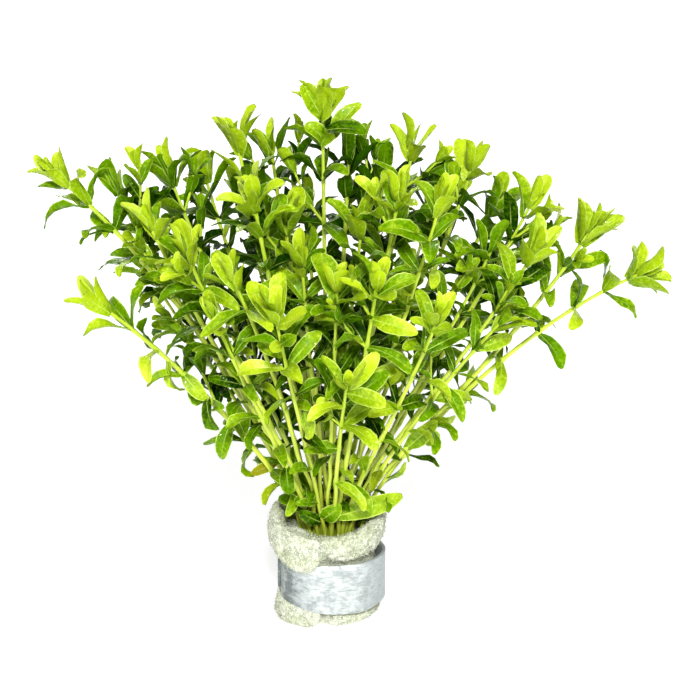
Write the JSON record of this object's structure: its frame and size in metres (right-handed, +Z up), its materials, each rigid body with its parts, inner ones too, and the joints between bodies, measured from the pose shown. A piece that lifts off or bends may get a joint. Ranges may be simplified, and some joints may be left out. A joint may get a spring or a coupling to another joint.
{
  "type": "weighted pearlweed bunch",
  "caption": "Upright bunch of leafy green aquarium stems, wrapped at the foot in pale filter foam and gripped by a soft grey metal strip.",
  "frame": {"origin": "on the surface that the foam stands on, under the middle of the whole bunch's extents", "axes": "+Z up along the bunch; +X to the right, along the fan of stems, seen from the front; the front faces -Y"},
  "size_m": [0.1481, 0.0979, 0.1355],
  "materials": {
    "plant": "living leaf and stem tissue, wet and glossy, bright yellow-green, darker inside the bunch, with paler stems",
    "foam": "open-pored filter foam, damp, pale greenish cream",
    "strip": "soft plant-weight metal, dull silver grey, with fine scratches along it and darker patches"
  },
  "bodies": {
    "root": {"foam_wrap": "foam", "metal_strip": "strip", "stem_peak": "plant", "stem_far_left": "plant", "stem_arm_low": "plant", "stem_low_left": "plant", "stem_arm_high": "plant", "stem_left_high": "plant", "stem_left_peak": "plant", "stem_left_centre": "plant", "stem_left_bright": "plant", "stem_peak_right": "plant", "stem_right_peak": "plant", "stem_right_bright": "plant", "stem_centre_bright": "plant", "stem_right_shoulder": "plant", "stem_right_inner": "plant", "stem_left_crown": "plant", "stem_left_bud": "plant", "stem_front_left": "plant", "stem_front_curved": "plant", "stem_front_short": "plant", "stem_front_middle": "plant", "stem_front_bud": "plant", "stem_front_right": "plant", "stem_right_low": "plant", "stem_left_second": "plant", "stem_centre_front": "plant", "stem_inner_left": "plant", "stem_inner_right": "plant", "stem_dark_left": "plant", "stem_dark_left_low": "plant", "stem_behind_left": "plant", "stem_behind_middle": "plant", "stem_behind_right": "plant", "stem_dark_right": "plant", "stem_right_gap": "plant", "stem_back_one": "plant", "stem_back_two": "plant", "stem_back_three": "plant", "stem_back_four": "plant", "stem_back_five": "plant", "stem_back_six": "plant", "stem_back_seven": "plant", "stem_back_eight": "plant"}
  },
  "joints": []
}
